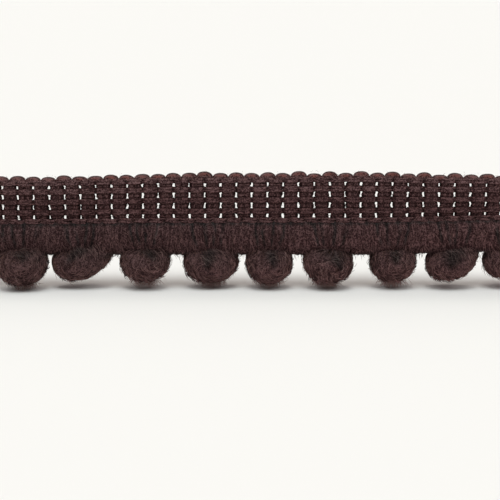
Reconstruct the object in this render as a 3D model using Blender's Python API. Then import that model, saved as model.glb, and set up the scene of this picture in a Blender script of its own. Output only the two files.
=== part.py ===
"""Pompom fringe trim: a cut length standing on its bobbles, face towards -Y.

A gimp heading runs along X with a scalloped top edge. Under it hangs a soft
brushed skirt, which arches over a row of round bobbles.
Units are metres, +Z is up, and the origin is the middle of the underside.
"""

import math

import bmesh
import bpy
import numpy as np
from mathutils import Vector

MM = 0.001

# Driving dimensions
PASS_PITCH = 3.28 * MM  # from one weft pass of the heading to the next
PASSES = 43
LENGTH = PASSES * PASS_PITCH
STEPS_PER_PASS = 4  # sections of the lofts for each weft pass
GAP = 0.3 * MM  # clearance between neighbouring pieces

# Heading
HEADING_HALF = 1.05 * MM  # half its thickness
RIB_DEPTH = 0.22 * MM  # how far the front sinks between two passes
SCALLOP_DEPTH = 0.95 * MM  # from a crest of the top edge to a notch
# x of the station, height of the crests, height of the hem, and how far the crests
# lean forward of the hem, all in mm
HEADING_STATIONS = {
    "x": (-71.0, -45.0, -22.0, 0.0, 22.0, 34.0, 50.0, 71.0),
    "crest": (24.5, 24.3, 24.9, 25.1, 25.3, 25.0, 24.8, 24.6),
    "hem": (13.8, 13.9, 14.1, 14.2, 14.2, 14.4, 14.8, 14.9),
    "lean": (0.5, 0.2, 0.0, 0.0, 0.0, 0.2, 0.8, 0.6),
}
# Share of the height above the hem, and share of the half thickness there
HEADING_PROFILE = {
    "rise": (0.0, 0.10, 0.84, 1.0),
    "half": (0.72, 1.0, 1.0, 0.48),
}

# Skirt
SKIRT_EDGE = 7.3 * MM  # height of its lower edge between two bobbles
SKIRT_EDGE_RIGHT = 8.0 * MM  # the same towards the right end
EDGE_RISES = (28.0 * MM, 42.0 * MM)  # x between which the edge climbs
SKIRT_HALF = 2.25 * MM  # half its largest thickness
SKIRT_FOLD = 0.07  # share by which the soft folds swell and thin it
FOLD_PITCH = 2.5 * PASS_PITCH
# Share of the height below the heading, and share of the half thickness there
SKIRT_PROFILE = {
    "drop": (0.0, 0.28, 0.78, 1.0),
    "half": (0.58, 0.92, 0.95, 0.50),
}

# Bobbles
BOBBLE_DEPTH = 9.8 * MM  # from front to back
BOBBLE_TOP = 9.4 * MM
BOBBLE_SEGMENTS = 14
BOBBLE_RINGS = 12
# One row for each bobble: x, y and height of its middle, and its width and height
# before it is tilted, all in mm, then the angle in degrees by which its width is tilted
# up to the right. What would reach below the table is pressed flat.
BOBBLE_COLUMNS = ("x", "y", "z", "width", "height", "tilt")
BOBBLES = (
    (-63.2, 1.1, 5.4, 10.6, 11.5, 0),
    (-50.6, -1.5, 5.4, 10.7, 11.5, 0),
    (-38.0, 0.4, 6.6, 13.8, 9.2, 30),
    (-24.3, -0.2, 5.5, 10.9, 8.9, 4),
    (-10.3, 0.5, 5.4, 12.0, 11.4, 20),
    (2.1, 0.0, 5.4, 10.1, 11.5, 0),
    (14.6, -0.3, 5.4, 10.7, 11.5, 0),
    (28.4, 0.3, 5.6, 10.0, 8.5, 3),
    (40.9, 0.0, 6.0, 11.7, 8.9, 22),
    (52.7, 0.6, 5.9, 10.1, 8.4, 0),
    (64.7, -1.2, 5.4, 10.2, 11.5, 0),
)

# Colours, linear, dark brown
HEADING_COLOUR = (0.034, 0.019, 0.019, 1.0)
SKIRT_COLOUR = (0.030, 0.016, 0.016, 1.0)
BOBBLE_COLOUR = (0.040, 0.020, 0.020, 1.0)
CLOTH_ROUGHNESS = 0.9

COLLECTION_NAME = "pompom_fringe_trim"


def clear_scene():
    for old in list(bpy.data.objects):
        bpy.data.objects.remove(old, do_unlink=True)


def make_material(name, colour):
    material = bpy.data.materials.new(name)
    material.use_nodes = True
    shader = material.node_tree.nodes["Principled BSDF"]
    shader.inputs["Base Color"].default_value = colour
    shader.inputs["Roughness"].default_value = CLOTH_ROUGHNESS
    shader.inputs["Metallic"].default_value = 0.0
    return material


def smooth_step(x, start, end):
    """0 before start, 1 after end, and a soft rise between."""
    share = min(1.0, max(0.0, (x - start) / (end - start)))
    return share * share * (3.0 - 2.0 * share)


def station(x, column):
    """A column of HEADING_STATIONS at x, in metres."""
    return MM * float(np.interp(x / MM, HEADING_STATIONS["x"], HEADING_STATIONS[column]))


def stations_along():
    """x of every section, from one cut end to the other."""
    count = PASSES * STEPS_PER_PASS
    return [-LENGTH / 2 + LENGTH * i / count for i in range(count + 1)]


def off_gap(x):
    """0 on a line of slits between two passes, and 1 on the middle of a pass.

    It is 1 outside the middle of the first and of the last pass too.
    """
    if abs(x) > (LENGTH - PASS_PITCH) / 2:
        return 1.0
    return abs(math.sin(math.pi * (x + LENGTH / 2) / PASS_PITCH))


def loft(name, sections, material, collection):
    """A closed solid through sections, each a list of (x, y, z) with the same count."""
    mesh = bpy.data.meshes.new(name)
    solid = bmesh.new()
    rings = [[solid.verts.new(point) for point in section] for section in sections]
    count = len(rings[0])
    for ring, following in zip(rings, rings[1:]):
        for i in range(count):
            j = (i + 1) % count
            solid.faces.new((ring[i], ring[j], following[j], following[i]))
    solid.faces.new(rings[0])
    solid.faces.new(rings[-1])
    bmesh.ops.recalc_face_normals(solid, faces=solid.faces)
    solid.to_mesh(mesh)
    solid.free()
    return add_object(name, mesh, material, collection)


def add_object(name, mesh, material, collection):
    mesh.materials.append(material)
    mesh.shade_smooth()
    mesh.set_sharp_from_angle(angle=math.radians(40))
    made = bpy.data.objects.new(name, mesh)
    collection.objects.link(made)
    return made


# --- Heading -----------------------------------------------------------------


def heading_top(x):
    """Height of the scalloped top edge at x. A crest stands over each line of slits."""
    return station(x, "crest") - SCALLOP_DEPTH * off_gap(x) ** 2.5


def heading_section(x):
    """Up the front and down the flat back."""
    hem = station(x, "hem")
    height = heading_top(x) - hem
    lean = station(x, "lean")
    groove = RIB_DEPTH * (1.0 - off_gap(x))
    front, back = [], []
    for rise, half in zip(HEADING_PROFILE["rise"], HEADING_PROFILE["half"]):
        z = hem + rise * height
        forward = lean * rise
        front.append((x, -half * HEADING_HALF + groove - forward, z))
        back.append((x, half * HEADING_HALF - forward, z))
    return front + back[::-1]


def make_heading(collection):
    material = make_material("heading_yarn", HEADING_COLOUR)
    sections = [heading_section(x) for x in stations_along()]
    return loft("heading", sections, material, collection)


# --- Bobbles -----------------------------------------------------------------


def bobble_rows():
    """BOBBLES as dictionaries, in metres and radians."""
    rows = []
    for values in BOBBLES:
        row = {key: value * MM for key, value in zip(BOBBLE_COLUMNS, values)}
        row["tilt"] = math.radians(values[BOBBLE_COLUMNS.index("tilt")])
        rows.append(row)
    return rows


def tucked(row, rise, margin=0.0):
    """A height over the middle of a bobble, lowered so that its peak is BOBBLE_TOP."""
    peak = math.hypot(
        row["width"] / 2 * math.sin(row["tilt"]), row["height"] / 2 * math.cos(row["tilt"])
    )
    room = BOBBLE_TOP - row["z"]
    return rise * (room + margin) / (peak + margin) if rise > 0 else rise


def bobble_crown(row, x, margin):
    """Height at x of the top of a bobble grown by a margin, or None beside it.

    Seen from the front it is a tilted ellipse, xx*x*x + xz*x*z + zz*z*z = 1.
    """
    cos, sin = math.cos(row["tilt"]), math.sin(row["tilt"])
    wide, tall = row["width"] / 2 + margin, row["height"] / 2 + margin
    xx = (cos / wide) ** 2 + (sin / tall) ** 2
    xz = 2 * cos * sin * (1 / wide**2 - 1 / tall**2)
    zz = (sin / wide) ** 2 + (cos / tall) ** 2
    across = x - row["x"]
    inside = (xz * across) ** 2 - 4 * zz * (xx * across**2 - 1)
    if inside < 0:
        return None
    rise = (math.sqrt(inside) - xz * across) / (2 * zz)
    return row["z"] + tucked(row, rise, margin)


def make_bobble(number, row, material, collection):
    """A ball tilted in front view, tucked in at the top, with a foot where it rests."""
    name = f"bobble_{number:02d}"
    bpy.ops.mesh.primitive_uv_sphere_add(
        segments=BOBBLE_SEGMENTS, ring_count=BOBBLE_RINGS, radius=1.0
    )
    ball = bpy.context.object
    mesh = ball.data
    cos, sin = math.cos(row["tilt"]), math.sin(row["tilt"])
    for vertex in mesh.vertices:
        along = vertex.co.x * row["width"] / 2
        over = vertex.co.z * row["height"] / 2
        z = tucked(row, along * sin + over * cos)
        vertex.co = Vector(
            (
                along * cos - over * sin,
                vertex.co.y * BOBBLE_DEPTH / 2,
                max(z, -row["z"]),
            )
        )
    ball.name = name
    mesh.name = name
    ball.location = (row["x"], row["y"], row["z"])
    mesh.materials.append(material)
    mesh.shade_smooth()
    for holder in list(ball.users_collection):
        holder.objects.unlink(ball)
    collection.objects.link(ball)
    return ball


def make_bobbles(collection):
    material = make_material("bobble_yarn", BOBBLE_COLOUR)
    return [
        make_bobble(number, row, material, collection)
        for number, row in enumerate(bobble_rows(), start=1)
    ]


# --- Skirt -------------------------------------------------------------------


def skirt_edge(x, rows):
    """Height of the lower edge: level between bobbles, and arched over each of them.

    It clears what stands a step to either side too, so that no chord cuts a corner.
    """
    climb = smooth_step(x, *EDGE_RISES)
    edge = SKIRT_EDGE + climb * (SKIRT_EDGE_RIGHT - SKIRT_EDGE)
    step = PASS_PITCH / STEPS_PER_PASS
    crowns = [
        bobble_crown(row, x + shift, GAP)
        for row in rows
        for shift in (-0.6 * step, 0.0, 0.6 * step)
    ]
    return max([edge, *(crown for crown in crowns if crown is not None)])


def skirt_section(x, rows):
    """Down the front and up the back."""
    top = station(x, "hem") - GAP
    height = top - skirt_edge(x, rows)
    fold = 1.0 + SKIRT_FOLD * math.cos(2 * math.pi * x / FOLD_PITCH)
    front, back = [], []
    for drop, half in zip(SKIRT_PROFILE["drop"], SKIRT_PROFILE["half"]):
        z = top - drop * height
        depth = half * SKIRT_HALF * fold
        front.append((x, -depth, z))
        back.append((x, depth, z))
    return front + back[::-1]


def make_skirt(collection):
    material = make_material("skirt_yarn", SKIRT_COLOUR)
    rows = bobble_rows()
    sections = [skirt_section(x, rows) for x in stations_along()]
    return loft("skirt", sections, material, collection)


# --- Placing -----------------------------------------------------------------


def stand_on_origin(objects):
    """Moves the whole trim so that the origin is the middle of its underside."""
    bpy.context.view_layer.update()
    corners = [
        made.matrix_world @ vertex.co for made in objects for vertex in made.data.vertices
    ]
    low = Vector([min(corner[axis] for corner in corners) for axis in range(3)])
    high = Vector([max(corner[axis] for corner in corners) for axis in range(3)])
    middle = (low + high) / 2
    for made in objects:
        made.location -= Vector((middle.x, middle.y, low.z))


def main():
    clear_scene()
    collection = bpy.data.collections.new(COLLECTION_NAME)
    bpy.context.scene.collection.children.link(collection)
    objects = [make_heading(collection), make_skirt(collection)]
    objects += make_bobbles(collection)
    stand_on_origin(objects)


main()
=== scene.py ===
"""Looks of the pompom fringe trim: its yarn, brushed fibres, light and camera.

Lengths are in millimetres until a mesh is made. +X runs along the trim, +Z up, and the
face looks towards -Y, as in the frame. Each maker draws from its own seeded source.
"""

import math

import bpy
import numpy as np
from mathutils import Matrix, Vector


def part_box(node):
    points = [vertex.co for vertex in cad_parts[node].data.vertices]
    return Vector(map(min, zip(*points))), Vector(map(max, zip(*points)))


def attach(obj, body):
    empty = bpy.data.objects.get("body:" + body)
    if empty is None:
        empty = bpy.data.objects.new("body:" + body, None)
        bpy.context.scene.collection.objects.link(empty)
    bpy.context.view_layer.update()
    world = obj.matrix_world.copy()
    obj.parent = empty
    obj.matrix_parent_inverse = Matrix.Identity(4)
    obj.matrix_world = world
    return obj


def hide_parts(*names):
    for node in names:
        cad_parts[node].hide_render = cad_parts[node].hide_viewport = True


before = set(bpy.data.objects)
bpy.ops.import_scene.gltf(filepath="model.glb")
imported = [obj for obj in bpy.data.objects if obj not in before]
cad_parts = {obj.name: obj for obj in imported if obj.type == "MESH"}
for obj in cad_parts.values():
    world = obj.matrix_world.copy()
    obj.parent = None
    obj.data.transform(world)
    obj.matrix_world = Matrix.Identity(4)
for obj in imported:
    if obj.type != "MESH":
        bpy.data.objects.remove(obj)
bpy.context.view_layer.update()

MM = 0.001
TURN = 2 * math.pi

# Pitch of the weft passes, as in the heading's solid, and how many the length has
PASS_PITCH = 3.28
PASSES = 43
LENGTH = PASS_PITCH * PASSES
END = LENGTH / 2  # x of the cut end on the right

# The heading: half its solid's thickness, and at stations along x the height of its
# crests and its hem, and how far the crests lean forward
HEADING_HALF = 1.05
HEADING_STATIONS = {
    "x": (-71.0, -45.0, -22.0, 0.0, 22.0, 34.0, 50.0, 71.0),
    "crest": (24.5, 24.3, 24.9, 25.1, 25.3, 25.0, 24.8, 24.6),
    "hem": (13.8, 13.9, 14.1, 14.2, 14.2, 14.4, 14.8, 14.9),
    "lean": (0.5, 0.2, 0.0, 0.0, 0.0, 0.2, 0.8, 0.6),
}

# Warp chains, top to bottom: share of the heading's height where each runs, how far its
# legs spread up and down over a pass and between two passes, and half a leg's height
CHAINS = {
    "level": (0.832, 0.652, 0.442, 0.229, 0.049),
    "spread": (0.26, 0.25, 0.24, 0.25, 0.25),
    "neck": (0.35, 0.38, 0.30, 0.36, 0.44),
    "wide": (0.43, 0.46, 0.45, 0.46, 0.36),
}
CHAIN_DEEP = 0.29  # half a leg's depth
CHAIN_THIN = (0.25, 0.22)  # half its height and depth where it dips between two passes
LINK_FOOT = 0.14  # how far a link starts before its pass
LINK_HEAD = 0.34  # how far it reaches into the next
BACK_THREAD = (0.30, 0.24)  # half the height and depth of the thread behind

# Weft
WEFT_AT = 1.01  # middle of a leg, from the line of slits beside it
WEFT_WIDE = 0.845  # half its width
WEFT_DEEP = 0.74  # half its depth between two chains
WEFT_TIED = 0.50  # half its depth under a chain
LEG_TOP = 0.85  # share of the heading's height where the crests' arches begin
CREST_DROP = 0.26  # how far the yarn lies under the crests' outline
CREST_FOOT = 1.85  # how far below the outline the crests' own shading begins
# A crest's half width and depth at its feet, and what they gain at its top
CREST_WIDE = (0.77, -0.10)
CREST_DEEP = (0.64, 0.18)

# Skirt: height of its edge left and right of where it rises, the locks' pitch, and the
# height at which they run into a bobble
SKIRT_EDGE = (7.55, 8.2)
EDGE_RISES = (28.0, 42.0)
LOCK_PITCH = 0.86
CINCH = 7.8
LOCK_OUT = 1.60  # how far a lock stands out from the skirt's middle
LOCK_TIGHT = 1.25  # how far it does at its low end
LOCK_DEEP = 0.56  # half its depth
SLANT = 0.85  # how far a lock slants towards its bobble
CREASES = (-3.4, -1.3, 0.9, 3.2)  # where creases start, from a bobble's middle
GATHER_PITCH = 12.8  # from an outer bobble's middle to that of the next, past the end

# Bobbles: x, y, height of the middle, width and height, tilt in degrees, where the
# yarn's whorl shows on the face, from the middle, and half the width of the cleft that
# runs down to it
BOBBLE_COLUMNS = ("x", "y", "z", "width", "height", "tilt", "whorl_x", "whorl_z", "cleft")
BOBBLES = (
    (-63.2, 1.1, 5.4, 10.6, 11.5, 0, 0.9, 0.3, 1.6),
    (-50.3, -1.5, 5.4, 11.1, 10.6, 22, 0.7, 1.3, 3.3),
    (-37.6, 0.4, 6.6, 14.0, 9.4, 24, -2.6, -0.4, 1.9),
    (-24.3, -0.2, 5.8, 10.9, 8.5, 4, 2.0, 1.0, 2.4),
    (-10.3, 0.5, 5.4, 12.0, 11.4, 20, -0.8, -0.6, 1.5),
    (2.1, 0.0, 5.4, 10.1, 11.5, 0, 0.9, -0.2, 1.5),
    (14.6, -0.3, 5.5, 10.7, 9.3, -14, 2.6, -0.8, 2.4),
    (28.4, 0.3, 5.6, 10.0, 8.5, 3, 0.2, 0.4, 1.3),
    (40.9, 0.0, 6.1, 11.6, 8.6, 22, -0.8, -1.2, 2.2),
    (52.7, 0.6, 5.9, 10.1, 8.4, 0, 0.3, 0.2, 1.6),
    (64.7, -1.2, 5.4, 10.2, 11.5, 0, -0.5, 0.2, 1.8),
)
BOBBLE_DEPTH = 9.8
BOBBLE_RADIUS = 5.2  # about, for lengths along its surface
BOBBLE_TOP = 9.4
BOBBLE_LIFT = 1.00  # under it only loose fibres reach the floor
BEARD_UNDER = 1.6  # a bobble whose underside is lower has a beard of fibres under it
WINDING_PITCH = 1.15  # between two ridges of its wound yarn

# The solids were moved as a whole to stand on the origin
MIDDLE_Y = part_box("heading")[1][1] / MM - HEADING_HALF

# Yarn: deep in a crease, on its lit side, as painted light on the crests' upper halves, and
# where it is grazed
YARN_DARK = (0.024, 0.009, 0.010, 1.0)
YARN_LIGHT = (0.143, 0.0745, 0.0755, 1.0)
YARN_CREST_LIT = (0.150, 0.052, 0.046, 1.0)
YARN_RIM = (1.0, 0.50, 0.32, 1.0)
FIBRE_DARK = (0.030, 0.012, 0.013, 1.0)
FIBRE_LIGHT = (0.290, 0.156, 0.149, 1.0)
FIBRE_PALE = (0.385, 0.268, 0.242, 1.0)
FIBRE_REDDER = 0.68

# Yarn materials: how fine the streaks are, how strong the flecks and the curls, how
# deep they all are, the power that makes yarn in painted shade redder, or under 1 less
# red, and the sheen
YARNS = {
    "weft_yarn": (3.8, 3.2, 0.6, 0.9, 1.3, 0.05),
    "chain_yarn": (4.4, 3.2, 0.6, 0.9, 1.3, 0.05),
    "skirt_yarn": (3.6, 2.0, 0.9, 0.8, 0.66, 0.05),
    "bobble_yarn": (3.8, 2.0, 0.8, 0.8, 0.72, 0.14),
}
STREAKS = 2.6  # strength of the streaks, as of the flecks and curls above
BLOTCHES = 0.25  # and of the blotches
FLECK_SCALE, CURL_SCALE, BLOTCH_SCALE = 3400.0, 1100.0, 230.0  # per metre
STRAND_APART = 37.0  # gives each tube its own streaks

# Camera
CAMERA_ELEVATION = math.radians(12.0)
CAMERA_DISTANCE = 0.25
CAMERA_TARGET = Vector((-0.00201, 0.0, 0.0082))
CAMERA_FOCAL = 1177.0 / 500.0  # in picture widths
SENSOR_WIDTH = 36.0

# Light: a softbox is name, tilt towards the viewer, tilt to the right, angle across,
# strength and colour
ROOM_COLOUR = (1.0, 0.865, 0.84, 1.0)
ROOM_STRENGTH = 0.24
BACKDROP_COLOUR = (0.985, 0.985, 0.95, 1.0)
BACKDROP_STRENGTH = 0.985
SOFTBOXES = (
    ("front_softbox", 20, 0, 28, 1.20, (0.95, 1.0, 0.975)),
    ("left_softbox", 20, -36, 30, 0.60, (0.95, 1.0, 0.975)),
    ("right_softbox", 20, 36, 30, 0.60, (0.95, 1.0, 0.975)),
    ("back_softbox", -17, 0, 30, 0.52, (1.0, 0.97, 0.87)),
    ("far_softbox", -42, 0, 60, 0.42, (1.0, 0.93, 0.88)),
)
FLOOR_COLOUR = (0.871, 0.868, 0.867, 1.0)
FLOOR_SIZE = 60.0


# --- Numbers ---


def station(x, column):
    return np.interp(x, HEADING_STATIONS["x"], HEADING_STATIONS[column])


def smooth_step(x, start, end):
    share = np.clip((x - start) / (end - start), 0.0, 1.0)
    return share * share * (3.0 - 2.0 * share)


def bell(x, reach, power=2):
    """1 at 0, falling almost to 0 at twice the reach."""
    return np.exp(-((x / reach) ** power))


def at_least(low, share):
    """A share from 0 to 1, raised to run from low to 1."""
    return low + (1.0 - low) * share


def unit(vectors):
    return vectors / (np.linalg.norm(vectors, axis=-1, keepdims=True) + 1e-12)


def xyz(x, y, z):
    return np.stack(np.broadcast_arrays(x, y, z), axis=-1)


def circle(count):
    """Angles of count points round a circle."""
    return TURN * np.arange(count) / count


def ripple(points, size, seed, waves=7):
    """Smooth random values, about -1 to 1, whose hills are about as wide as size."""
    source = np.random.default_rng(seed)
    if points.ndim == 1:
        points = points[:, None]
    total = np.zeros(points.shape[:-1])
    for _ in range(waves):
        direction = source.normal(size=points.shape[-1])
        direction /= np.linalg.norm(direction)
        turn = TURN / (size * source.uniform(1.2, 2.6))
        total += np.sin(points @ direction * turn + source.uniform(0, TURN))
    return total / math.sqrt(waves)


def along(source, count, margin=0.4):
    """Random places along x, at least margin from the cut ends."""
    return source.uniform(-END + margin, END - margin, count)


def faces(source, count, front):
    """-1 for the places on the face, a share front of them, and 1 for those behind."""
    return np.where(source.random(count) < front, -1.0, 1.0)


def scatter(source, count, spread=1.0, shift=0.0):
    """Random vectors about shift, as long as spread."""
    return source.normal(size=(count, 3)) * spread + shift


# --- Meshes ---


def add_object(name, data):
    made = bpy.data.objects.new(name, data)
    bpy.context.scene.collection.objects.link(made)
    return made


class Pile:
    """Points and faces collected for one mesh, with values at each point.

    "strand" says where the point lies along and around its yarn, and "tone" how light
    the yarn is, at random and with some painted light and shade. "shade" is painted
    shade: how much of its colour shows, less where it lies deep.
    """

    def __init__(self):
        self.points, self.strand, self.tone, self.faces = [], [], [], []
        self.count = 0

    def add(self, points, strand, tone, corners):
        points = points.reshape(-1, 3)
        self.points.append(points)
        self.strand.append(np.broadcast_to(strand, points.shape))
        self.tone.append(tone.ravel())
        self.faces += [face + self.count for face in corners]
        self.count += len(points)

    def make(self, name, material, shade=None):
        points = np.concatenate(self.points)
        depth = np.ones(len(points)) if shade is None else shade(points)
        corners = np.concatenate([face.ravel() for face in self.faces])
        sizes = np.concatenate([np.full(len(face), face.shape[1]) for face in self.faces])
        starts = np.concatenate([[0], np.cumsum(sizes)[:-1]])
        mesh = bpy.data.meshes.new(name)
        mesh.vertices.add(len(points))
        mesh.vertices.foreach_set("co", (points * MM).ravel())
        mesh.loops.add(len(corners))
        mesh.loops.foreach_set("vertex_index", corners.astype(np.int32))
        mesh.polygons.add(len(sizes))
        mesh.polygons.foreach_set("loop_start", starts.astype(np.int32))
        mesh.update(calc_edges=True)
        for attribute, kind, field, values in (
            ("strand", "FLOAT_VECTOR", "vector", np.concatenate(self.strand)),
            ("tone", "FLOAT", "value", np.concatenate(self.tone)),
            ("shade", "FLOAT", "value", depth),
        ):
            layer = mesh.attributes.new(attribute, kind, "POINT")
            layer.data.foreach_set(field, values.ravel())
        mesh.shade_smooth()
        mesh.materials.append(material)
        return add_object(name, mesh)


def tube_faces(curves, rings, sides):
    """Quads and end caps of tubes whose points are numbered curve, ring, side."""
    number = np.arange(curves * rings * sides).reshape(curves, rings, sides)
    near, far = number[:, :-1], number[:, 1:]
    quads = np.stack([near, np.roll(near, -1, 2), np.roll(far, -1, 2), far], axis=-1)
    return [quads.reshape(-1, 4), number[:, 0, ::-1], number[:, -1]]


def tubes(pile, paths, wide, deep, side_to=(0, 1, 0), sides=8, lobes=None, tone=0.0,
          square=1.0):
    """Closed tubes along paths (curve, ring, xyz), flat at both ends.

    wide is half the section across side_to, deep half of it along side_to. lobes is
    (how many, how deep, turns a millimetre) for a yarn of that many twisted plies, and
    square under 1 makes the section squarer than an ellipse.
    """
    curves, rings, _ = paths.shape
    shape = (curves, rings, sides)
    ahead = unit(np.gradient(paths, axis=1))
    across = unit(np.cross(ahead, side_to))
    out = np.cross(across, ahead)
    steps = np.linalg.norm(np.diff(paths, axis=1), axis=2)
    length = np.concatenate([np.zeros((curves, 1)), np.cumsum(steps, axis=1)], axis=1)
    length = length[..., None]
    angle = circle(sides)
    swell = 1.0
    if lobes:
        number, depth, turns = lobes
        swell = 1.0 + depth * np.cos(number * (angle - TURN * turns * length))
    cos, sin = [np.sign(v) * np.abs(v) ** square for v in (np.cos(angle), np.sin(angle))]
    sideways = np.broadcast_to(wide, shape[:2])[..., None] * cos * swell
    outward = np.broadcast_to(deep, shape[:2])[..., None] * sin * swell
    points = (
        paths[:, :, None]
        + sideways[..., None] * across[:, :, None]
        + outward[..., None] * out[:, :, None]
    )
    tone = np.asarray(tone)
    tone = np.broadcast_to(tone.reshape(tone.shape + (1,) * (3 - tone.ndim)), shape)
    stretch = length + STRAND_APART * np.arange(curves)[:, None, None]
    strand = xyz(stretch, sideways, outward)
    pile.add(points, strand.reshape(-1, 3), tone, tube_faces(*shape))


def fibres(pile, roots, heading, length, radius, seed, curl=0.3, steps=3, tone=(0, 1),
           sag=None):
    """Thin fibres, pointed at both ends, that start at roots and run along heading.

    heading is one direction for each fibre, curl how far it bends away, as a share of
    its length, tone the lowest and highest of their tones, most being low, and sag how
    far a fibre's end is drawn aside.
    """
    source = np.random.default_rng(seed)
    count = len(roots)
    heading = unit(heading)
    bend = unit(np.cross(heading, scatter(source, count)))
    other = np.cross(heading, bend)
    at = np.linspace(0.0, 1.0, steps + 1)[:, None]
    length = np.broadcast_to(length, count)
    # Each waves in two directions, out of step
    amount = (curl * length * source.uniform(0.3, 1.0, count))[:, None, None]
    phase = source.uniform(0.0, TURN, count)[:, None, None]
    wave = np.sin(at * 3.6 + phase) - np.sin(phase)
    sway = np.cos(at * 2.9 + phase) - np.cos(phase)
    paths = (
        roots[:, None]
        + heading[:, None] * (at * length[:, None, None])
        + bend[:, None] * (wave * amount * 0.7)
        + other[:, None] * (sway * amount * 0.7)
    )
    if sag is not None:
        paths += sag[:, None] * at**2
    thin = np.broadcast_to(radius, count)[:, None, None] * np.sin(math.pi * at)
    angle = circle(3)[:, None]
    spokes = np.cos(angle) * bend[:, None] + np.sin(angle) * other[:, None]
    inner = paths[:, 1:-1, None] + thin[:, 1:-1, None] * spokes[:, None]
    points = np.concatenate([inner.reshape(count, -1, 3), paths[:, :1], paths[:, -1:]], 1)
    points[..., 2] = np.maximum(points[..., 2], 0.0)
    rings = steps - 1
    start_tip, last = rings * 3, rings * 3 - 3
    tips = []
    for side, following in ((0, 1), (1, 2), (2, 0)):
        tips.append([start_tip, following, side])
        tips.append([start_tip + 1, last + side, last + following])
    first = np.arange(count)[:, None, None] * (start_tip + 2)
    corners = [(first + tube_faces(1, rings, 3)[0]).reshape(-1, 4),
               (first + np.array(tips)).reshape(-1, 3)]
    tones = tone[0] + (tone[1] - tone[0]) * source.uniform(0.0, 1.0, count) ** 2.2
    pile.add(points, 0.0, np.repeat(tones, start_tip + 2), corners)


# --- Materials ---


class Nodes:
    """Shorthand for building the nodes of a material or of the world."""

    def __init__(self, owner):
        owner.use_nodes = True
        self.tree = owner.node_tree

    def fill(self, node, values):
        """Set a node's inputs, by name or number, or link other nodes' outputs to them."""
        for name, value in values.items():
            if isinstance(value, bpy.types.NodeSocket):
                self.tree.links.new(value, node.inputs[name])
            else:
                node.inputs[name].default_value = value
        return node

    def new(self, kind, values=None):
        return self.fill(self.tree.nodes.new("ShaderNode" + kind), values or {})

    def own(self, name, values):
        """Fill the node of that name, which the owner has from the start."""
        return self.fill(self.tree.nodes[name], values)

    def maths(self, operation, *values):
        node = self.new("Math")
        node.operation = operation
        return self.fill(node, dict(enumerate(values))).outputs["Value"]

    def noise(self, vector, scale, detail):
        values = {"Vector": vector, "Scale": scale, "Detail": detail}
        return self.new("TexNoise", values).outputs["Fac"]

    def curls(self, vector, scale):
        """Thin curly lines, like brushed fibres that lie on the yarn."""
        lines = 0.0
        for number in range(2):
            away = (0.031 * number, 0.017 * number, 0.0)
            moved = self.new("Mapping", {"Vector": vector, "Location": away})
            field = self.noise(moved.outputs["Vector"], scale * (1.0 + 0.4 * number), 1.0)
            apart = self.maths("ABSOLUTE", self.maths("SUBTRACT", field, 0.5))
            lines = self.maths("MAXIMUM", lines, self.spread(apart, 0.045, 0.0))
        return lines

    def attribute(self, name, output="Fac"):
        node = self.new("Attribute")
        node.attribute_name = name
        return node.outputs[output]

    def spread(self, value, low, high):
        """A value as a share of the way from low to high."""
        values = {"Value": value, "From Min": low, "From Max": high}
        return self.new("MapRange", values).outputs["Result"]

    def blend(self, share, first, second, way="MIX"):
        node = self.new("Mix")
        node.data_type = "RGBA"
        node.blend_type = way
        values = {"Factor": share, "A": first, "B": second}
        return self.fill(node, values).outputs["Result"]

    def shaded(self, colour, redder):
        """A colour, darkened by the painted shade in the "shade" attribute where the yarn
        lies deep.

        There it is redder if redder is over 1, and less red if it is under 1.
        """
        shade = self.attribute("shade")
        deep = self.maths("POWER", shade, redder)
        node = self.new("CombineColor", {"Red": shade, "Green": deep, "Blue": deep})
        return self.blend(1.0, colour, node.outputs["Color"], "MULTIPLY")


def yarn_material(name, streak, fleck, curl, relief, redder, sheen):
    """Dyed yarn: streaks along it, flecks, curls and faint blotches, with painted light on
    the crests' upper halves and painted shade where it lies deep.
    """
    material = bpy.data.materials.new(name)
    made = Nodes(material)
    strand = made.attribute("strand", "Vector")
    drawn = made.new("Mapping", {"Vector": strand, "Scale": (streak * 0.16, streak, streak)})
    streaks = made.noise(drawn.outputs["Vector"], 1.0, 3.0)
    place = made.new("TexCoord").outputs["Object"]
    flecks = made.noise(place, FLECK_SCALE, 3.0)
    blotches = made.noise(place, BLOTCH_SCALE, 3.0)
    curls = made.curls(place, CURL_SCALE)
    tone = made.attribute("tone")

    # Noise lies about a half, and curls about a quarter, so the share lies about 0.4
    middle = 0.5 * (STREAKS + fleck + BLOTCHES) + 0.25 * curl
    share = made.maths("MULTIPLY_ADD", streaks, STREAKS, 0.4 - middle)
    share = made.maths("MULTIPLY_ADD", curls, curl, share)
    share = made.maths("MULTIPLY_ADD", flecks, fleck, share)
    share = made.maths("MULTIPLY_ADD", blotches, BLOTCHES, share)
    # Tone, partly random and partly painted light and shade, lightens or darkens the yarn
    share = made.maths("MULTIPLY_ADD", made.maths("MINIMUM", tone, 0.3), 0.6, share)
    share = made.spread(share, 0.12, 0.88)
    colour = made.blend(share, YARN_DARK, YARN_LIGHT)
    # Painted light: where the tone is high, on the crests' upper halves, the yarn takes the
    # lit crest colour
    crest = made.blend(share, YARN_DARK, YARN_CREST_LIT)
    colour = made.blend(made.spread(tone, 0.45, 0.9), colour, crest)

    height = made.maths("MULTIPLY_ADD", curls, curl, made.maths("ADD", streaks, flecks))
    bump = {"Strength": relief, "Distance": 0.12 * MM, "Height": height}
    made.own("Principled BSDF", {
        "Base Color": made.shaded(colour, redder),
        "Roughness": 0.75,
        "Specular IOR Level": 0.10,
        "Sheen Weight": sheen,
        "Sheen Roughness": 0.35,
        "Sheen Tint": YARN_RIM,
        "Normal": made.new("Bump", bump).outputs["Normal"],
    })
    return material


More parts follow.
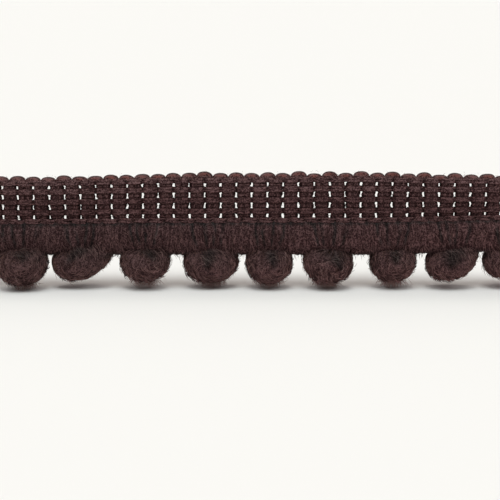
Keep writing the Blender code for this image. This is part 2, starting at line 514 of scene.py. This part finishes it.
def fibre_material(name):
    """A loose fibre: its tone makes it dark, light or, from 1.8 up, pale, and painted shade
    darkens it where it lies deep.
    """
    material = bpy.data.materials.new(name)
    made = Nodes(material)
    blotches = made.noise(made.new("TexCoord").outputs["Object"], 300.0, 2.0)
    tone = made.attribute("tone")
    share = made.spread(made.maths("MULTIPLY", tone, blotches), 0.03, 0.55)
    colour = made.blend(share, FIBRE_DARK, FIBRE_LIGHT)
    colour = made.blend(made.spread(tone, 1.8, 3.0), colour, FIBRE_PALE)
    colour = made.shaded(colour, FIBRE_REDDER)
    looks = {"Base Color": colour, "Roughness": 0.7, "Specular IOR Level": 0.12}
    made.own("Principled BSDF", looks)
    return material


def floor_material():
    """A matt floor."""
    material = bpy.data.materials.new("floor")
    looks = {"Base Color": FLOOR_COLOUR, "Roughness": 0.3, "Specular IOR Level": 0.0}
    Nodes(material).own("Principled BSDF", looks)
    return material


# --- Heading ---


def heading_point(x, share):
    """Height, and y of the heading's middle, at a share of its height at x."""
    hem = station(x, "hem")
    z = hem + share * (station(x, "crest") - hem)
    return z, MIDDLE_Y - station(x, "lean") * share


def tied(share):
    """1 where a chain ties the weft down, 0 half way between two chains."""
    return np.max([bell(share - level, 0.066, 4) for level in CHAINS["level"]], axis=0)


def over_level(points, share):
    """How far points are above a share of the heading's height."""
    return points[:, 2] - heading_point(points[:, 0], share)[0]


def from_chain(points):
    """Distance up or down from the nearest chain."""
    return np.min([np.abs(over_level(points, level)) for level in CHAINS["level"]], axis=0)


def from_slits(points):
    """Distance along x from the nearest line of slits."""
    passes = (points[:, 0] + END) / PASS_PITCH
    return np.abs(passes - np.round(passes)) * PASS_PITCH


def painted_upper_light(points):
    """Painted light: the heading's upper half is lighter, up to the foot of its crests."""
    low, high = station(points[:, 0], "hem"), station(points[:, 0], "crest")
    share = (points[:, 2] - low) / (high - low)
    return 1.0 + 0.45 * smooth_step(share, 0.42, 0.80) * smooth_step(share, 1.0, 0.88)


def weft_shade(points):
    """Painted shade on the weft: darker beside the slits and against the chains, with painted
    light up its upper half.
    """
    rise = points[:, 2] - (station(points[:, 0], "crest") - CREST_FOOT)
    beside = from_slits(points)
    side = np.maximum(smooth_step(beside, 0.33, 0.62), smooth_step(rise, -0.5, 0.1))
    band = smooth_step(from_chain(points), 0.62, 0.90)
    band = np.maximum(band, smooth_step(rise, 0.1, 0.4))
    # Painted shade: a crest is darker along its foot, and where it meets the next one
    foot = smooth_step(rise, 0.3, 0.5) * smooth_step(rise, 0.8, 0.6)
    notch = smooth_step(rise, 0.5, 0.9) * smooth_step(beside, 0.9, 1.6)
    crest = (1.0 - 0.15 * foot) * (1.0 - 0.15 * notch)
    return at_least(0.06, side) * at_least(0.14, band) * crest * painted_upper_light(points)


def chain_shade(points):
    """Painted shade on the chains: darker between two passes and along their edges, with
    painted light up the heading's upper half.
    """
    apart = from_chain(points)
    side = np.maximum(smooth_step(from_slits(points), 0.06, 0.38), 0.95 * bell(apart, 0.34))
    edge = smooth_step(apart, 0.50, 0.72)
    uneven = 1.0 + 0.5 * ripple(points[:, [0, 2]], 1.5, 61)
    seam = smooth_step(apart, 0.10, 0.0) * np.clip(uneven, 0.0, 1.0)
    # The crests cover the top chain's upper half, and the hem's has no slits under it, so
    # both get less painted shade, and the hem's is a little lighter
    above = smooth_step(over_level(points, 0.83), -0.15, 0.10)
    hem = smooth_step(over_level(points, 0.13), 0.1, -0.1)
    side = at_least(0.95 * above, side)
    side = at_least(0.8 * hem, side)
    line = (1.0 - 0.75 * edge) * (1.0 - (0.35 - 0.20 * hem) * seam)
    return at_least(0.10, side) * line * (1.0 + 0.08 * hem) * painted_upper_light(points)


def weft_leg(x0, side, seed):
    """The leg beside the slits at x0, with the same values as crest_arch's."""
    shares = np.linspace(-0.02, LEG_TOP, 46)
    z, y = heading_point(x0, shares)
    hold = tied(shares)
    sway = 0.12 * ripple(z, 1.0, seed) * (1.0 - hold)
    path = xyz(x0 + side * (WEFT_AT + sway), y, z)
    wide = WEFT_WIDE * (1.0 + 0.07 * ripple(z, 0.8, seed + 800) - 0.04 * hold)
    deep = WEFT_DEEP + (WEFT_TIED - WEFT_DEEP) * hold
    return path, wide, deep, hold, np.zeros_like(z)


def crest_arch(x0, foot, high, lead, flat):
    """The arch over the slits at x0, which begins where the left leg ends, at foot.

    Its values are path, half widths, half depths, how firmly it is tied down, and how
    much of a crest it is. high is about 1 for a high, broad crest and -1 for a low,
    narrow one, lead how far its top is drawn to the right, and flat under 1 makes it
    flatter than a round arch.
    """
    turn = np.linspace(math.pi, 0.0, 15)[1:-1]
    over = np.sin(turn)
    top = station(x0, "crest") + 0.20 * high - CREST_DROP - WEFT_DEEP
    x = x0 + WEFT_AT * (1.0 + 0.13 * high * over) * np.cos(turn) + lead * over
    z = foot[2] + (top - foot[2]) * over**flat
    path = xyz(x, foot[1], z)
    wide, deep = [feet + gain * over**0.5 for feet, gain in (CREST_WIDE, CREST_DEEP)]
    return path, wide, deep, np.zeros_like(x), over**0.6


def make_weft(material):
    """The weft, up one pass and down the next, with a crest over each line of slits."""
    source = np.random.default_rng(11)
    pile = Pile()
    for line in range(PASSES + 1):
        x0 = -END + line * PASS_PITCH
        high = source.uniform(-0.9, 0.9) + (0.8 if source.random() < 0.15 else 0.0)
        # From the middle to the right, broad crests and narrow ones take turns
        turns = smooth_step(x0, -16.0, 6.0)
        high = high * (1.0 - 0.4 * turns) + 0.95 * turns * (1 - 2 * (line % 2))
        lead = source.uniform(-0.22, 0.22)
        flat = source.uniform(0.50, 0.90)
        left, right = weft_leg(x0, -1, 500 + line), weft_leg(x0, 1, 900 + line)
        if line in (0, PASSES):
            # Only the leg inside the cut end
            path, wide, deep, hold, crest = right if line == 0 else left
        else:
            arch = crest_arch(x0, left[0][-1], high, lead, flat)
            path, wide, deep, hold, crest = [
                np.concatenate([up, over, down[::-1]])
                for up, over, down in zip(left, arch, right)
            ]
        # Painted light: a crest is redder on its upper half, where light falls, but darker
        # along the top of its arch. Painted shade darkens the weft where a chain ties it down
        up = np.cos(circle(12))
        red = smooth_step(up, -0.5, 0.0) - 2.8 * smooth_step(up, 0.55, 1.0)
        tone = (source.uniform(0.05, 0.25) - 0.2 * hold)[:, None]
        tone = tone + source.uniform(0.55, 0.85) * crest[:, None] * red
        tubes(pile, path[None], wide[None], deep[None], sides=12, tone=tone[None],
              square=0.84)
    return pile.make("heading_weft", material, weft_shade)


def chain_link(x0, level, spread, neck, slant, source):
    """Path of one link, from its foot, along the pass, round its head and back.

    It lies on the pass and dips between two passes, where its legs draw together. Its
    fan is 1 where they are spread, and 0 where they meet.
    """
    at = np.linspace(-1.0, 1.0, 29)
    turn = np.abs(at)
    foot, head = x0 - LINK_FOOT, x0 + PASS_PITCH + LINK_HEAD
    x = head - (head - foot) * (1.0 - np.cos(turn * math.pi / 2)) ** 0.95
    over = np.clip((x - x0) / PASS_PITCH, 0.0, 1.0)
    fan = np.sin(math.pi * over) ** 0.7
    height = neck + (spread * source.uniform(0.75, 1.3) - neck) * fan
    height *= smooth_step(turn, 0.0, 0.30)
    z_mid, y_mid = heading_point(x, level + source.uniform(-0.008, 0.008))
    # The legs seldom lie level or even
    slope = (source.uniform(-0.13, 0.13, 2) + slant)[(at > 0).astype(int)]
    z = z_mid + np.sign(at) * height + slope * (2.0 * over - 1.0) * fan
    pillow = 1.0 - np.abs(2.0 * over - 1.0) ** 3.2
    depth = 0.24 + 0.08 * smooth_step(turn, 0.5, 0.2)
    y = y_mid - depth - (WEFT_TIED + 0.22 - depth) * pillow
    return xyz(np.clip(x, -END, END), y, z), fan


def make_chain(number, level, spread, neck, thick, material):
    """One warp chain: a link over each pass in front, and a thread across the back."""
    source = np.random.default_rng(40 + number)
    # The one along the hem is twisted like a rope, out of step with the passes
    along_hem = number == len(CHAINS["level"])
    slant, shift = (-0.26, 0.4 * PASS_PITCH) if along_hem else (0.0, 0.0)
    pile = Pile()
    links, fans, backs = [], [], []
    for column in range(PASSES):
        x0 = -END + column * PASS_PITCH + shift
        link, fan = chain_link(x0, level, spread, neck, slant, source)
        links.append(link)
        fans.append(fan)
        x = np.linspace(x0 - 0.15, x0 + PASS_PITCH + 0.15, 13)
        z_mid, y_mid = heading_point(x, level)
        over = np.sin(math.pi * np.linspace(0, 1, 13)) ** 0.5
        y = y_mid + 0.22 + (WEFT_TIED - 0.06) * over
        wobble = 0.08 * ripple(x, 2.0, 70 + number)
        backs.append(xyz(np.clip(x, -END, END), y, z_mid + wobble))
    fans = np.array(fans)
    # Painted shade: a link is darker where its legs meet between two passes
    tone = source.uniform(0.0, 0.20, PASSES)[:, None] - 0.2 * (1.0 - fans)
    tone = tone + 0.18 * along_hem
    least, thin = CHAIN_THIN
    wide = least + (thick - least) * fans * source.uniform(0.85, 1.1, PASSES)[:, None]
    deep = thin + (CHAIN_DEEP - thin) * fans
    tubes(pile, np.array(links), wide, deep, lobes=(2, 0.10, 0.8), tone=tone)
    tubes(pile, np.array(backs), *BACK_THREAD, sides=6)
    return pile.make(f"heading_chain_{number}", material, chain_shade)


def make_heading_fuzz(material):
    """Loose fibres on the heading's two sides, and over its crests."""
    source = np.random.default_rng(77)
    pile = Pile()
    count = 4200
    x = along(source, count)
    share = source.uniform(0.0, 0.90, count)
    face = faces(source, count, 0.62)
    z, y = heading_point(x, share)
    gap = np.abs(np.sin(math.pi * (x + END) / PASS_PITCH))
    roots = xyz(x, y + face * (0.35 + 0.5 * gap), z)
    heading = scatter(source, count, (1.0, 0.25, 0.35))
    heading[:, 1] += face * 0.25
    length = source.uniform(0.5, 1.4, count)
    kept = from_slits(roots) > 0.42
    fibres(pile, roots[kept], heading[kept], length[kept], 0.055, 78)
    # Short ones that stand up from the crests
    count = 70
    x = along(source, count, 1.0)
    z, y = heading_point(x, 0.97)
    roots = xyz(x, y + source.uniform(-0.6, 0.6, count), z)
    heading = scatter(source, count, shift=(0.0, 0.0, 0.3))
    fibres(pile, roots, heading, source.uniform(0.2, 0.7, count), 0.018, 79)
    # Lighter ones that lie along the crests' face
    count = 420
    x = along(source, count, 1.0)
    z, y = heading_point(x, 0.93)
    z += source.uniform(-0.5, 0.10, count)
    roots = xyz(x, y - source.uniform(0.55, 0.75, count), z)
    heading = scatter(source, count, (1.0, 0.15, 0.25))
    fibres(pile, roots, heading, source.uniform(0.4, 1.0, count), 0.035, 80, curl=0.2,
           tone=(0.0, 1.6))
    return pile.make("heading_fuzz", material)


# --- Bobbles ---


def bobble_rows():
    """Each bobble's values by name, with its middle and its whorl as points."""
    rows = []
    for values in BOBBLES:
        row = dict(zip(BOBBLE_COLUMNS, values))
        row["tilt"] = math.radians(row["tilt"])
        row["y"] += MIDDLE_Y
        row["bearded"] = row["z"] - row["height"] / 2 < BEARD_UNDER
        row["middle"] = np.array([row["x"], row["y"], row["z"]])
        row["whorl"] = np.array([row["whorl_x"], 0.0, row["whorl_z"]])
        rows.append(row)
    return rows


def ball_surface(row, directions, swell):
    """Points of a bobble in unit directions, grown outward by swell."""
    cos, sin = math.cos(row["tilt"]), math.sin(row["tilt"])
    half = np.array([row["width"], BOBBLE_DEPTH, row["height"]]) / 2
    body = directions * (half + np.asarray(swell)[..., None])
    x = body[..., 0] * cos - body[..., 2] * sin
    z = body[..., 0] * sin + body[..., 2] * cos
    peak = math.hypot(half[0] * sin, half[2] * cos)
    up, down = BOBBLE_TOP - row["z"], row["z"] - BOBBLE_LIFT
    z = np.where(z > 0, z * up / peak, z * min(1.0, down / peak))
    # Like a pear, it runs up into the skirt, and a bearded one is fuller below
    high = np.clip(z / up, 0.0, 0.97)
    low = np.clip(-z / down, 0.0, 0.97)
    power = 2.15 if row["bearded"] else 2.0
    full = (1.0 - low**power) ** (1.0 / power) / np.sqrt(1.0 - low**2)
    x = x * full * (1.0 - 0.36 * high**3) / np.sqrt(1.0 - high**2)
    y = body[..., 1] * full * (1.0 - 0.72 * high**1.4) / np.sqrt(1.0 - high**2)
    y = y + (MIDDLE_Y - row["y"]) * high**1.5
    z = np.maximum(z, 0.02 - row["z"])
    return row["middle"] + xyz(x, y, z)


def ball_directions(polar, around):
    """Unit directions whose pole is the middle of the face."""
    return xyz(np.sin(polar) * np.cos(around), -np.cos(polar), np.sin(polar) * np.sin(around))


def cleft(row, directions):
    """1 in the middle of the cleft that runs down from the skirt to the whorl."""
    half_height = BOBBLE_TOP - row["z"]
    x = directions[..., 0] * row["width"] / 2
    z = directions[..., 2] * half_height
    climb = np.clip((z - row["whorl_z"]) / (half_height - row["whorl_z"]), 0.0, 1.0)
    middle = row["whorl_x"] * (1.0 - climb)
    half = 0.6 + (1.7 * row["cleft"] - 0.6) * climb**1.2
    return bell(x - middle, half) * smooth_step(z, row["whorl_z"] - 0.8, row["whorl_z"] + 0.7)


def winding(row, points):
    """Direction of the yarn at points: round the whorl, and round the outline further out."""
    out = (points - row["middle"]) * (1.0, 0.0, 1.0)
    far = np.linalg.norm(out, axis=1) / (row["width"] / 2)
    centre = row["whorl"] * np.clip(1.15 - far, 0.0, 1.0)[:, None]
    return unit(np.cross(out - centre, (0.0, 1.0, 0.0)))


def add_ball(pile, number, row):
    """The body of a bobble: yarn that curls round into a whorl, front and back."""
    rings, sides = 52, 76
    polar = math.pi * (np.arange(rings) + 0.5) / rings
    polar, around = np.meshgrid(polar, circle(sides), indexing="ij")
    directions = ball_directions(polar, around)
    # The whorl sits off the middle of the face, so the winding is slid towards it
    weight = np.abs(directions[..., 1]) ** 2
    directions = unit(directions + row["whorl"] / 5.0 * weight[..., None])
    reach = np.minimum(polar, math.pi - polar) * BOBBLE_RADIUS
    wander = ripple(directions, 0.4, 300 + number)
    ridges = np.cos(TURN * (reach / WINDING_PITCH + around / TURN + 0.7 * wander))
    gap = cleft(row, directions)
    swell = 0.05 * ridges + 0.11 * ripple(directions, 0.8, 400 + number)
    swell += 0.11 * ripple(directions, 0.15, 600 + number, 15)
    swell -= 0.15 + 0.5 * bell(reach, 0.8) + 0.7 * gap
    strand = xyz(around * reach * 0.5, reach, 0.0)
    tone = 0.16 + 0.14 * ridges + 0.12 * ripple(directions, 0.22, 650 + number, 15)
    # Painted shade: the yarn is darker in the cleft
    pile.add(ball_surface(row, directions, swell), strand.reshape(-1, 3), tone - 0.2 * gap,
             tube_faces(1, rings, sides))


def add_wisps(pile, number, row):
    """Strands that come out of the skirt and lie down over the top of a bobble."""
    source = np.random.default_rng(800 + number)
    count = 54
    facing = TURN * (np.arange(count) + source.uniform(-0.4, 0.4, count)) / count
    start, ends = np.radians(16), np.radians(source.uniform(48, 88, count))
    at = np.linspace(0.0, 1.0, 11)
    fall = start + (ends[:, None] - start) * at
    bend = facing[:, None] + 0.25 * np.sin(1.5 * at) * source.normal(size=(count, 1))
    directions = xyz(np.sin(fall) * np.cos(bend), np.sin(fall) * np.sin(bend), np.cos(fall))
    lie = source.uniform(-0.12, 0.12, count)[:, None] - 0.28 * at**4
    lie = lie - 0.65 * cleft(row, directions) * (directions[..., 1] < 0)
    paths = ball_surface(row, directions, lie)
    width = np.sin(math.pi * (0.10 + 0.88 * at)) ** 0.6
    tubes(pile, paths, 0.34 * width, 0.17 * width, unit(paths - row["middle"]), sides=6,
          tone=source.uniform(-0.3, 0.4, count))


def add_coat(pile, number, row, source):
    """Fibres brushed round with the winding, all over a bobble."""
    count = 1380
    directions = ball_directions(
        np.arccos(source.uniform(-1, 1, count)), source.uniform(0, TURN, count)
    )
    directions = directions[source.random(count) > 0.35 * cleft(row, directions)]
    count = len(directions)
    roots = ball_surface(row, directions, -0.14 - 0.55 * cleft(row, directions))
    normal = unit(roots - row["middle"])
    stray = 0.8 * np.cross(normal, unit(scatter(source, count)))
    heading = winding(row, roots) + stray + normal * source.uniform(-0.04, 0.13, (count, 1))
    length = source.uniform(0.6, 2.0, count)
    fibres(pile, roots, heading, length, source.uniform(0.04, 0.08, count), 700 + number,
           curl=0.22, tone=(-0.3, 1.35), sag=-normal * (length**2 / 7.0)[:, None])


def add_arcs(pile, number, row, source):
    """Longer, lighter fibres that curl with the winding, on the face and the back."""
    count = 165
    directions = scatter(source, count, (1.0, 0.8, 0.9), (0.0, 0.0, -0.2))
    directions[:, 1] += 1.1 * faces(source, count, 0.75)
    directions = unit(directions)
    roots = ball_surface(row, directions, 0.04 - 0.6 * cleft(row, directions))
    normal = unit(roots - row["middle"])
    heading = winding(row, roots) + scatter(source, count, 0.32)
    length = source.uniform(1.2, 3.4, count)
    fibres(pile, roots, heading, length, 0.048, 750 + number, curl=0.12, steps=5,
           tone=(0.5, 2.5), sag=-normal * (length**2 / 6.0)[:, None])


def add_halo(pile, number, row, source):
    """Short fibres that stand off all round, palest where they catch the light."""
    count = 170
    directions = unit(scatter(source, count, (1.0, 0.45, 1.0), (0.0, 0.0, -0.35)))
    roots = ball_surface(row, directions, -0.05)
    heading = unit(roots - row["middle"]) + scatter(source, count, 0.7)
    fibres(pile, roots, heading, source.uniform(0.2, 0.65, count), 0.03, 850 + number,
           tone=(0.8, 2.8))


def add_beard(pile, number, row, source):
    """Fibres under a bobble that stands on them, or nearly."""
    tried, most = 9000, 420
    directions = unit(scatter(source, tried, shift=(0.0, 0.0, -1.2)))
    roots = ball_surface(row, directions, -0.2)
    apart = np.hypot(roots[:, 0] - row["x"], 1.2 * (roots[:, 1] - row["y"]))
    below = apart < source.uniform(1.4, 3.2, tried)
    roots = roots[below & (roots[:, 2] < row["z"] - 3.0)][:most]
    count = len(roots)
    heading = (roots - row["middle"]) * (0.08, 0.08, 0.0) + (0.0, 0.0, -0.8)
    heading += scatter(source, count, 0.40)
    reach = (roots[:, 2] + 0.1) * source.uniform(0.5, 1.05, count)
    fibres(pile, roots, heading, reach, 0.032, 900 + number, curl=0.35, tone=(1.9, 3.1))


def bobble_shade(row, rows):
    """Painted shade on a bobble's yarn at points: darker in the cleft, on its sides and at
    the neck.
    """
    neck = neck_shade(rows)

    def shade(points):
        half = np.array([row["width"], BOBBLE_DEPTH, 2 * (BOBBLE_TOP - row["z"])]) / 2
        directions = (points - row["middle"]) / half
        front = smooth_step(-directions[:, 1], 0.0, 0.4)
        # Its neighbours keep light from its sides
        side = smooth_step(np.abs(directions[:, 0]), 0.80, 1.0)
        side *= smooth_step(row["z"] + 4.5 - points[:, 2], 0.0, 1.5)
        wedge = 1.0 - 0.56 * front * cleft(row, directions)
        return neck(points) * wedge * (1.0 - 0.15 * side)

    return shade


def make_bobble(number, row, rows, material, fibre):
    """A curled tuft, and the loose fibres that stand off it."""
    shade = bobble_shade(row, rows)
    pile = Pile()
    add_ball(pile, number, row)
    add_wisps(pile, number, row)
    body = pile.make(f"pompom_{number:02d}", material, shade)
    layers = [add_coat, add_arcs, add_halo]
    if row["bearded"]:
        layers.append(add_beard)
    source = np.random.default_rng(200 + number)
    pile = Pile()
    for add_layer in layers:
        add_layer(pile, number, row, source)
    return body, pile.make(f"pompom_fuzz_{number:02d}", fibre, shade)


# --- Skirt ---


def skirt_edge(x):
    left, right = SKIRT_EDGE
    return left + smooth_step(x, *EDGE_RISES) * (right - left)


def over_bobble(x, rows):
    """1 over the middle of a bobble, 0 over the gap between two."""
    cover = [
        smooth_step(0.40 * row["width"] + 0.8 - np.abs(x - row["x"]), 0.0, 0.9)
        for row in rows
    ]
    return np.max(cover, axis=0)


def near_bobble(x, rows):
    """As over_bobble, but fading out half way to the next bobble."""
    apart = np.min([np.abs(x - row["x"]) for row in rows], axis=0)
    return smooth_step(apart, 6.2, 3.4)


def low_end(x, rows):
    """Height of the skirt's low end: its edge, or where it runs into a bobble."""
    cover = over_bobble(x, rows)
    return skirt_edge(x) * (1 - cover) + CINCH * cover


def gather(x, rows):
    """How far a lock at x slants towards the bobble that it runs into."""
    middles = [row["x"] for row in rows]
    middles = [middles[0] - GATHER_PITCH, *middles, middles[-1] + GATHER_PITCH]
    return -SLANT * np.sin(TURN * np.interp(x, middles, np.arange(len(middles))))


def slant_down(down):
    """Share of a lock's slant that it has at a share of its way down."""
    return smooth_step(down, 0.05, 1.25) / smooth_step(1.0, 0.05, 1.25)


def creases(rows):
    """Top and slant, along x, of the creases between a bobble's locks."""
    source = np.random.default_rng(35)
    tops = [row["x"] + at + source.uniform(-0.5, 0.5) for row in rows for at in CREASES]
    tops = np.clip(tops, -END + 0.5, END - 0.5)
    return tops, 1.25 * gather(tops, rows)


def from_crease(x, z, rows):
    """Distance along x from the nearest crease, at a height z."""
    lean = slant_down(np.clip((station(x, "hem") - z) / 5.5, 0.0, 1.0))
    return np.min([np.abs(x - top - aside * lean) for top, aside in zip(*creases(rows))],
                  axis=0)


def neck_shade(rows):
    """Painted shade on the yarn: darker over a bobble, at the skirt's lower edge, under the
    hem and in creases.
    """

    def shade(points):
        x, y, z = points.T
        near = near_bobble(x, rows)
        # Forward of the neck the same line of sight is lower
        seen = z + 0.21 * np.minimum(y - MIDDLE_Y + 2.0, 0.0)
        band = smooth_step(seen, 3.4, 6.4) * smooth_step(seen, 9.2, 7.8)
        edge = smooth_step(z - skirt_edge(x), 0.7, 0.1) * (z > 6.8)
        under = station(x, "hem") - z
        dash = bell(under - 0.15, 0.3) * np.clip(ripple(x, 1.2, 63), 0.0, 1.0)
        shoulder = smooth_step(under, 0.4, 1.0) * smooth_step(under, 3.4, 1.6)
        fold = smooth_step(from_crease(x, z, rows), 0.34, 0.08) * smooth_step(z, 8.6, 10.4)
        soft = (1.0 - 0.20 * band * near) * (1.0 - 0.45 * edge * (1.0 - near))
        soft *= 1.0 - (0.08 + 0.02 * near) * shoulder
        # The trim is a little lighter towards its right end
        soft *= 1.0 + 0.12 * x / END
        hem = at_least(0.52, smooth_step(under, 0.0, 0.7))
        return soft * hem * (1.0 - 0.75 * dash) * (1.0 - 0.68 * fold)

    return shade


def add_skirt_core(pile, rows):
    """What the locks lie on, so that no light comes between them."""
    x = np.linspace(-END + 0.6, END - 0.6, 180)
    hem, low = station(x, "hem"), low_end(x, rows) + 0.4
    path = xyz(x, MIDDLE_Y, (low + hem) / 2)
    tall = (hem - low) / 2 + 0.1
    # Painted shade: the core is darker than the locks, like the shade between them
    tubes(pile, path[None], tall[None], 1.2, sides=12, tone=-0.5, square=0.6)


def make_skirt(rows, material):
    """Brushed locks of yarn, each down the front, round the lower edge and up the back."""
    source = np.random.default_rng(31)
    count = int(LENGTH / LOCK_PITCH)
    x_top = -END + (np.arange(count) + 0.5) * LENGTH / count
    x_top += source.uniform(-0.22, 0.22, count)
    x_top = np.clip(x_top, -END + 0.5, END - 0.5)
    x_low = x_top + gather(x_top, rows)
    hem, low = station(x_top, "hem"), low_end(x_low, rows)
    folds = bell(from_crease(x_top, hem, rows), 0.35)
    tops, bottoms = hem + 0.1, low + 0.5
    down = np.linspace(0.0, 1.0, 20)
    turn = np.linspace(0.0, math.pi, 9)[1:-1]
    lie = x_top[:, None] + (x_low - x_top)[:, None] * slant_down(down)
    room = np.gradient(np.sort(lie, axis=0), axis=0)
    grow = np.interp(down, (0.0, 0.15), (0.80, 1.0))
    deep = LOCK_DEEP * grow
    deep = np.concatenate([deep, np.full(len(turn), 0.50), deep[::-1]])
    paths, wides, tones = [], [], []
    for i, near in enumerate(near_bobble(x_low, rows)):
        z = tops[i] - down * (tops[i] - bottoms[i])
        out = LOCK_OUT + source.uniform(-0.15, 0.12) - 0.18 * folds[i]
        tight = LOCK_TIGHT - 0.15 * near
        belly = out * (1.12 - 0.10 * near)
        swell = np.interp(down, (0.0, 0.22, 0.55, 0.80, 1.0),
                          (0.15, out, belly, belly - 0.05 * near, tight))
        x_front = lie[i] + 0.16 * ripple(z, 2.4, 1000 + i)
        x_back = lie[i] + 0.16 * ripple(z, 2.4, 3000 + i) + source.uniform(-0.2, 0.2)
        front = xyz(x_front, MIDDLE_Y - swell, z)
        back = xyz(x_back, MIDDLE_Y + swell, z)[::-1]
        x_under = np.interp(turn, (0, math.pi), (x_front[-1], x_back[-1]))
        z_under = bottoms[i] - np.sin(turn) * 0.42
        under = xyz(x_under, MIDDLE_Y - np.cos(turn) * tight, z_under)
        paths.append(np.concatenate([front, under, back]))
        leg = (0.52 * np.clip(room[i], 0.6, 1.7) + 0.34) * grow
        leg = leg * (1.0 + 0.10 * ripple(z, 2.0, 5000 + i))
        wides.append(np.concatenate([leg, np.full(len(turn), leg[-1]), leg[::-1]]))
        tones.append(source.uniform(-0.25, -0.05))
    pile = Pile()
    # Sections lie across X, so that neighbours stay side by side
    tubes(pile, np.array(paths), deep, np.array(wides), side_to=(1, 0, 0), tone=tones)
    add_skirt_core(pile, rows)
    return pile.make("skirt_locks", material, neck_shade(rows))


def make_skirt_fuzz(rows, material):
    """Loose fibres brushed down the skirt, and round its lower edge."""
    source = np.random.default_rng(32)
    pile = Pile()
    count = 9500
    x_top = along(source, count)
    slant = gather(x_top, rows)
    hem, low = station(x_top, "hem"), low_end(x_top + slant, rows)
    down = source.uniform(0.0, 0.95, count)
    x = x_top + slant * slant_down(down)
    z = hem - down * (hem - low)
    face = faces(source, count, 0.6)
    swell = np.interp(down, (0.0, 0.2, 0.55, 0.75, 1.0), (1.0, 2.1, 2.25, 2.1, 1.7))
    drawn_in = np.interp(down, (0.0, 0.55, 0.80, 1.0), (0.0, 0.2, 0.35, 0.5))
    swell -= near_bobble(x, rows) * drawn_in
    roots = xyz(x, MIDDLE_Y + face * (swell - 0.05), z)
    heading = xyz(slant * 0.40, face * 0.03, -1.0)
    heading += scatter(source, count, (0.36, 0.10, 0.20))
    fibres(pile, roots, heading, source.uniform(0.6, 2.2, count),
           source.uniform(0.035, 0.065, count), 33, curl=0.24, tone=(0.1, 0.85))
    x = along(source, 900)
    x = x[over_bobble(x, rows) < 0.5]
    count = len(x)
    angle = source.uniform(0, math.pi, count)
    z = skirt_edge(x) + 0.3 - 0.3 * np.sin(angle)
    roots = xyz(x, MIDDLE_Y - 1.6 * np.cos(angle), z)
    heading = xyz(0.0, np.sin(angle), -0.2 * np.cos(angle))
    heading += scatter(source, count, 0.3)
    fibres(pile, roots, heading, source.uniform(0.6, 1.3, count), 0.045, 34, curl=0.25,
           steps=4)
    return pile.make("skirt_fuzz", material, neck_shade(rows))


# --- Stage ---


def make_camera():
    data = bpy.data.cameras.new("camera")
    data.sensor_width = SENSOR_WIDTH
    data.lens = SENSOR_WIDTH * CAMERA_FOCAL
    data.clip_start = 0.01
    camera = add_object("camera", data)
    back = Vector((0, -math.cos(CAMERA_ELEVATION), math.sin(CAMERA_ELEVATION)))
    camera.location = CAMERA_TARGET + back * CAMERA_DISTANCE
    camera.rotation_euler = (math.pi / 2 - CAMERA_ELEVATION, 0, 0)
    bpy.context.scene.camera = camera


def make_floor():
    bpy.ops.mesh.primitive_plane_add(size=FLOOR_SIZE)
    floor = bpy.context.object
    floor.name = "floor"
    floor.data.materials.append(floor_material())


def make_world():
    """A white backdrop, and the room's own light, which is dimmer and warmer."""
    world = bpy.data.worlds.new("studio")
    bpy.context.scene.world = world
    made = Nodes(world)
    room = {"Color": ROOM_COLOUR, "Strength": ROOM_STRENGTH}
    backdrop = {"Color": BACKDROP_COLOUR, "Strength": BACKDROP_STRENGTH}
    ray = made.new("LightPath").outputs
    choice = made.new("MixShader", {
        0: made.maths("MAXIMUM", ray["Is Camera Ray"], ray["Is Glossy Ray"]),
        1: made.own("Background", room).outputs["Background"],
        2: made.new("Background", backdrop).outputs["Background"],
    })
    made.own("World Output", {"Surface": choice.outputs["Shader"]})


def make_softboxes():
    for name, tilt, aside, angle, energy, colour in SOFTBOXES:
        sun = bpy.data.lights.new(name, "SUN")
        sun.angle = math.radians(angle)
        sun.energy = energy
        sun.color = colour
        softbox = add_object(name, sun)
        softbox.rotation_euler = (math.radians(tilt), math.radians(aside), 0)


# --- Putting it together ---


def main():
    make_camera()
    make_floor()
    make_world()
    make_softboxes()
    bpy.context.scene.view_settings.view_transform = "Standard"
    rows = bobble_rows()
    yarns = {name: yarn_material(name, *values) for name, values in YARNS.items()}
    fibre = fibre_material("loose_fibre")

    weft = make_weft(yarns["weft_yarn"])
    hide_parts("heading")
    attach(weft, "root")
    on_heading = []
    for number, sizes in enumerate(zip(*CHAINS.values()), 1):
        chain = make_chain(number, *sizes, yarns["chain_yarn"])
        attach(chain, "root")
        on_heading.append(chain)
    fuzz = make_heading_fuzz(fibre)
    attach(fuzz, "root")
    on_heading.append(fuzz)

    locks = make_skirt(rows, yarns["skirt_yarn"])
    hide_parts("skirt")
    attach(locks, "root")
    skirt_fuzz = make_skirt_fuzz(rows, fibre)
    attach(skirt_fuzz, "root")
    on_heading += [locks, skirt_fuzz]

    for number, row in enumerate(rows, 1):
        body, fuzz = make_bobble(number, row, rows, yarns["bobble_yarn"], fibre)
        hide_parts(f"bobble_{number:02d}")
        for piece in (body, fuzz):
            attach(piece, "root")
            on_heading.append(piece)


main()
